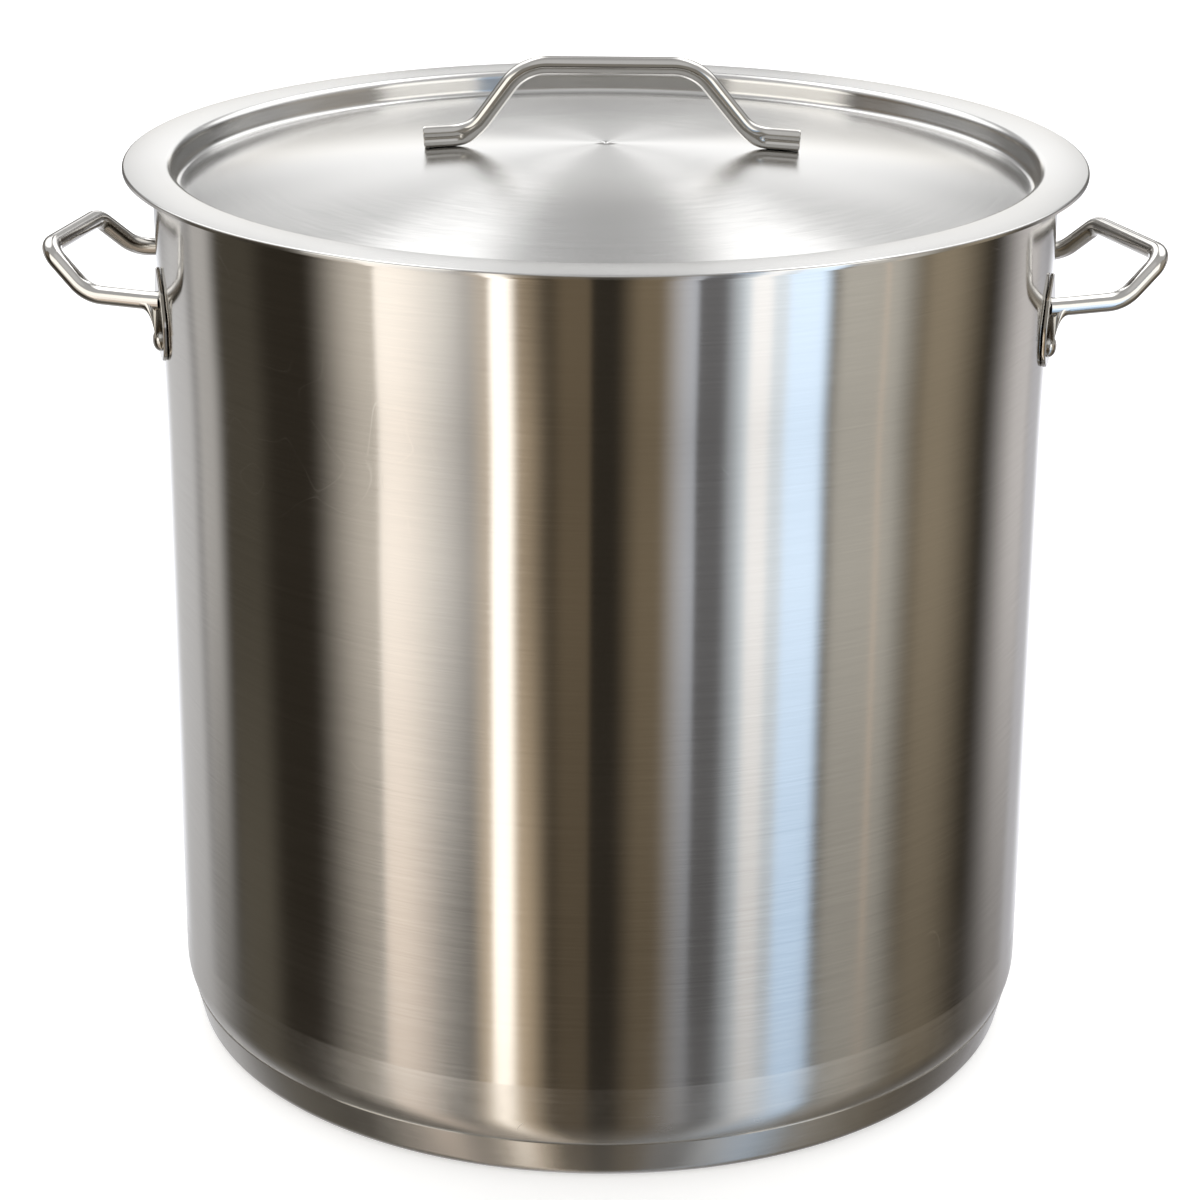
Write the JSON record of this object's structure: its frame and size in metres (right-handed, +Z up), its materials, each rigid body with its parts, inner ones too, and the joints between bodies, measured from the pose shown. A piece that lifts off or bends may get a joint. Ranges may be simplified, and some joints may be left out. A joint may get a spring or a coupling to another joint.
{
  "type": "brew kettle",
  "caption": "Cylindrical stainless brew kettle with a sandwich base, riveted tube side handles and a lift-off lid with a sunken panel and a tube handle.",
  "frame": {"origin": "centre of the base's underside, on the surface the kettle stands on", "axes": "+X towards the right side handle, +Y towards the back, +Z up along the kettle's axis"},
  "size_m": [0.6293, 0.5396, 0.5703],
  "materials": {
    "wall_steel": "brushed around the kettle",
    "base_steel": "brushed around the base",
    "core_aluminium": "plain",
    "handle_steel": "polished",
    "rivet_steel": "polished",
    "lid_steel": "brushed in rings"
  },
  "bodies": {
    "kettle": {"barrel": "wall_steel", "bottom_dish": "wall_steel", "base_core": "core_aluminium", "base_cap": "base_steel", "left_handle": "handle_steel", "right_handle": "handle_steel", "rivet_left_front": "rivet_steel", "rivet_left_rear": "rivet_steel", "rivet_right_front": "rivet_steel", "rivet_right_rear": "rivet_steel"},
    "lid": {"lid": "lid_steel", "lid_handle": "handle_steel"}
  },
  "joints": [
    {"name": "lid_lift", "type": "slide", "parent": "kettle", "child": "lid", "axis": [0, 0, 1], "range_m": [0, 0.6]}
  ]
}
